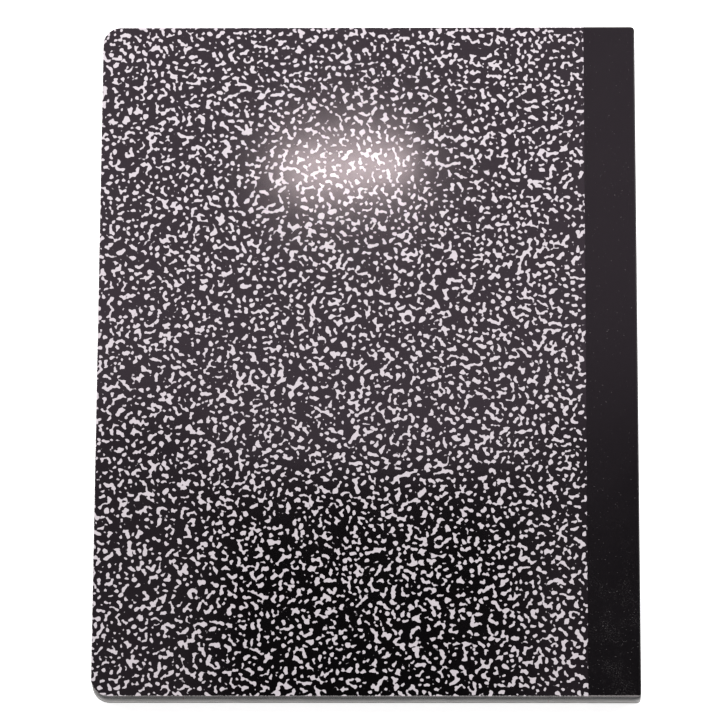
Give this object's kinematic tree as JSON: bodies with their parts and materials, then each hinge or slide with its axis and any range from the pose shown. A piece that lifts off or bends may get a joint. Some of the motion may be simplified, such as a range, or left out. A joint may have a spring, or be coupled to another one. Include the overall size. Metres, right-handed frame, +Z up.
{
  "type": "composition notebook",
  "caption": "Board-covered notebook with a marbled black and white print, a black tape spine, sewn pages and two covers that open flat.",
  "frame": {"origin": "middle of the book's footprint, on the surface that its front cover lies on", "axes": "+X towards the spine, +Y towards the head, +Z up through the back cover"},
  "size_m": [0.1906, 0.2476, 0.0096],
  "materials": {
    "paper": "matt writing paper",
    "thread": "white cotton thread",
    "spine_cloth": "black coated cloth tape, satin",
    "cover_board": "black and white marbled print, semi-gloss"
  },
  "bodies": {
    "page_block": {"page_block": "paper", "binding_thread": "thread", "spine_tape": "spine_cloth"},
    "back_cover": {"back_cover_board": "cover_board", "back_tape_flap": "spine_cloth"},
    "front_cover": {"front_cover_board": "cover_board", "front_tape_flap": "spine_cloth"}
  },
  "joints": [
    {"name": "back_cover_hinge", "type": "hinge", "parent": "page_block", "child": "back_cover", "pos_m": [0.0954, 0, 0.0088], "axis": [0, 1, 0], "range_deg": [0, 180]},
    {"name": "front_cover_hinge", "type": "hinge", "parent": "page_block", "child": "front_cover", "pos_m": [0.0954, 0, 0.0008], "axis": [0, -1, 0], "range_deg": [0, 180]}
  ]
}
